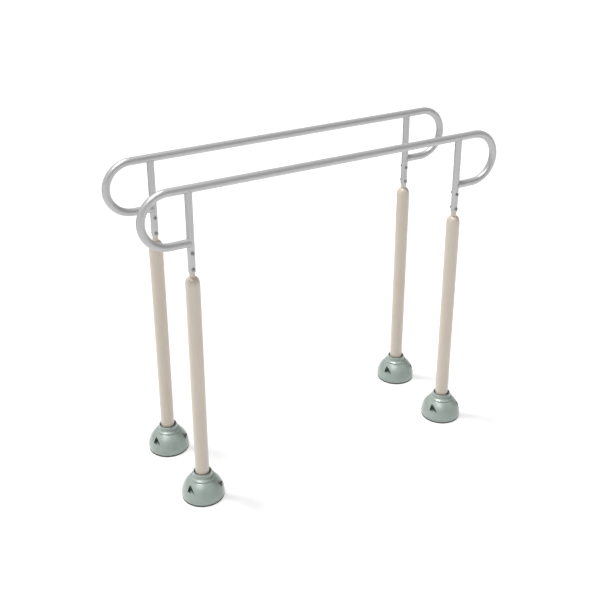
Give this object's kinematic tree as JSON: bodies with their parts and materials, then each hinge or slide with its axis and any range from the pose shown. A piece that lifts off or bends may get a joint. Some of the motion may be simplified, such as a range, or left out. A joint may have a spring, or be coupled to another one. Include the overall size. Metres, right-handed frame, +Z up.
{
  "type": "parallel bars",
  "caption": "Free-standing parallel bars: tube rails with looped ends, bolted by sleeves to round posts with domed covers over their anchored base plates.",
  "frame": {"origin": "on the ground, midway between the four posts", "axes": "+X along the rails, +Y across from the front rail to the back rail, +Z up"},
  "size_m": [1.7836, 0.613, 1.5175],
  "materials": {
    "rails": "satin",
    "posts": "semi-gloss powder coat",
    "foot_covers": "satin moulded",
    "cover_edges": "matt",
    "base_steel": "powder coat",
    "fasteners": "satin"
  },
  "bodies": {
    "frame": {"front_rail": "rails", "back_rail": "rails", "front_left_post": "posts", "front_left_shoulder": "posts", "front_left_spigot": "posts", "front_left_sleeve": "rails", "front_left_bolts": "fasteners", "front_left_washers": "fasteners", "front_left_nuts": "fasteners", "front_left_base_plate": "base_steel", "front_left_gussets": "base_steel", "back_left_post": "posts", "back_left_shoulder": "posts", "back_left_spigot": "posts", "back_left_sleeve": "rails", "back_left_bolts": "fasteners", "back_left_washers": "fasteners", "back_left_nuts": "fasteners", "back_left_base_plate": "base_steel", "back_left_gussets": "base_steel", "front_right_post": "posts", "front_right_shoulder": "posts", "front_right_spigot": "posts", "front_right_sleeve": "rails", "front_right_bolts": "fasteners", "front_right_washers": "fasteners", "front_right_nuts": "fasteners", "front_right_base_plate": "base_steel", "front_right_gussets": "base_steel", "back_right_post": "posts", "back_right_shoulder": "posts", "back_right_spigot": "posts", "back_right_sleeve": "rails", "back_right_bolts": "fasteners", "back_right_washers": "fasteners", "back_right_nuts": "fasteners", "back_right_base_plate": "base_steel", "back_right_gussets": "base_steel"},
    "front_left_cover": {"front_left_foot_cover": "foot_covers", "front_left_cover_edge": "cover_edges", "front_left_cover_screws": "fasteners"},
    "back_left_cover": {"back_left_foot_cover": "foot_covers", "back_left_cover_edge": "cover_edges", "back_left_cover_screws": "fasteners"},
    "front_right_cover": {"front_right_foot_cover": "foot_covers", "front_right_cover_edge": "cover_edges", "front_right_cover_screws": "fasteners"},
    "back_right_cover": {"back_right_foot_cover": "foot_covers", "back_right_cover_edge": "cover_edges", "back_right_cover_screws": "fasteners"}
  },
  "joints": [
    {"name": "front_left_cover_lift", "type": "slide", "parent": "frame", "child": "front_left_cover", "axis": [0, 0, 1], "range_m": [0, 0.94]},
    {"name": "back_left_cover_lift", "type": "slide", "parent": "frame", "child": "back_left_cover", "axis": [0, 0, 1], "range_m": [0, 0.94]},
    {"name": "front_right_cover_lift", "type": "slide", "parent": "frame", "child": "front_right_cover", "axis": [0, 0, 1], "range_m": [0, 0.94]},
    {"name": "back_right_cover_lift", "type": "slide", "parent": "frame", "child": "back_right_cover", "axis": [0, 0, 1], "range_m": [0, 0.94]}
  ]
}
